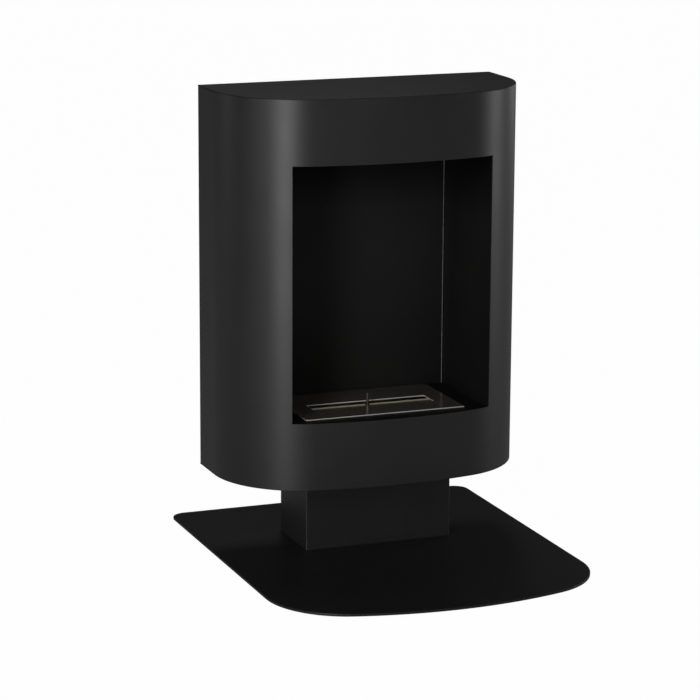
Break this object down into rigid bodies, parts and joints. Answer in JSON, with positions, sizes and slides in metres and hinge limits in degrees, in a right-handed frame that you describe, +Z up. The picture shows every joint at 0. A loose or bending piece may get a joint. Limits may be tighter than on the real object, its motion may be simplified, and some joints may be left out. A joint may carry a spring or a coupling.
{
  "type": "bioethanol fireplace",
  "caption": "Free-standing bioethanol fireplace: D-shaped black steel body, open in front, on a narrow pedestal and a wide floor plate, with a drop-in steel burner and a sliding damper.",
  "frame": {"origin": "middle of the floor plate's underside, on the floor", "axes": "+Z up, -Y out of the open front, +X to the right when seen from the front"},
  "size_m": [0.634, 0.752, 0.882],
  "materials": {
    "black_powder_coat": "matte",
    "firebox_heat_paint": "matte",
    "blackened_screws": "satin",
    "zinc_plated_steel": "satin",
    "stainless_steel": "satin",
    "heat_tinted_stainless": "satin",
    "ceramic_wool": "matte"
  },
  "bodies": {
    "stove": {"floor_plate": "black_powder_coat", "foot_screws": "zinc_plated_steel", "pedestal_foot": "black_powder_coat", "foot_nuts": "zinc_plated_steel", "pedestal_shell": "black_powder_coat", "pedestal_head": "black_powder_coat", "pedestal_rear_cover": "black_powder_coat", "rear_cover_screws": "blackened_screws", "head_bolts": "zinc_plated_steel", "head_washers": "zinc_plated_steel", "head_nuts": "zinc_plated_steel", "body_bottom": "black_powder_coat", "body_shell": "black_powder_coat", "body_top": "black_powder_coat", "back_panel": "black_powder_coat", "back_panel_screws": "blackened_screws", "floor_carrier_right": "firebox_heat_paint", "floor_carrier_left": "firebox_heat_paint", "firebox_floor": "firebox_heat_paint", "firebox_side_right": "firebox_heat_paint", "firebox_side_left": "firebox_heat_paint", "firebox_ceiling": "firebox_heat_paint", "floor_screws": "zinc_plated_steel", "floor_nuts": "zinc_plated_steel", "ceiling_screws": "zinc_plated_steel", "ceiling_nuts": "zinc_plated_steel", "heat_shield": "firebox_heat_paint", "shield_standoffs": "zinc_plated_steel", "shield_screws": "blackened_screws"},
    "burner": {"burner_plate": "stainless_steel", "fuel_container": "stainless_steel", "absorbent_wool": "ceramic_wool", "damper_rails": "stainless_steel"},
    "damper": {"damper_plate": "heat_tinted_stainless", "damper_pin": "stainless_steel", "pin_nut": "stainless_steel"}
  },
  "joints": [
    {"name": "burner_lift", "type": "slide", "parent": "stove", "child": "burner", "axis": [0, 0, 1], "range_m": [0, 0.08]},
    {"name": "damper_slide", "type": "slide", "parent": "burner", "child": "damper", "axis": [0, 1, 0], "range_m": [-0.018, 0.0185]}
  ]
}
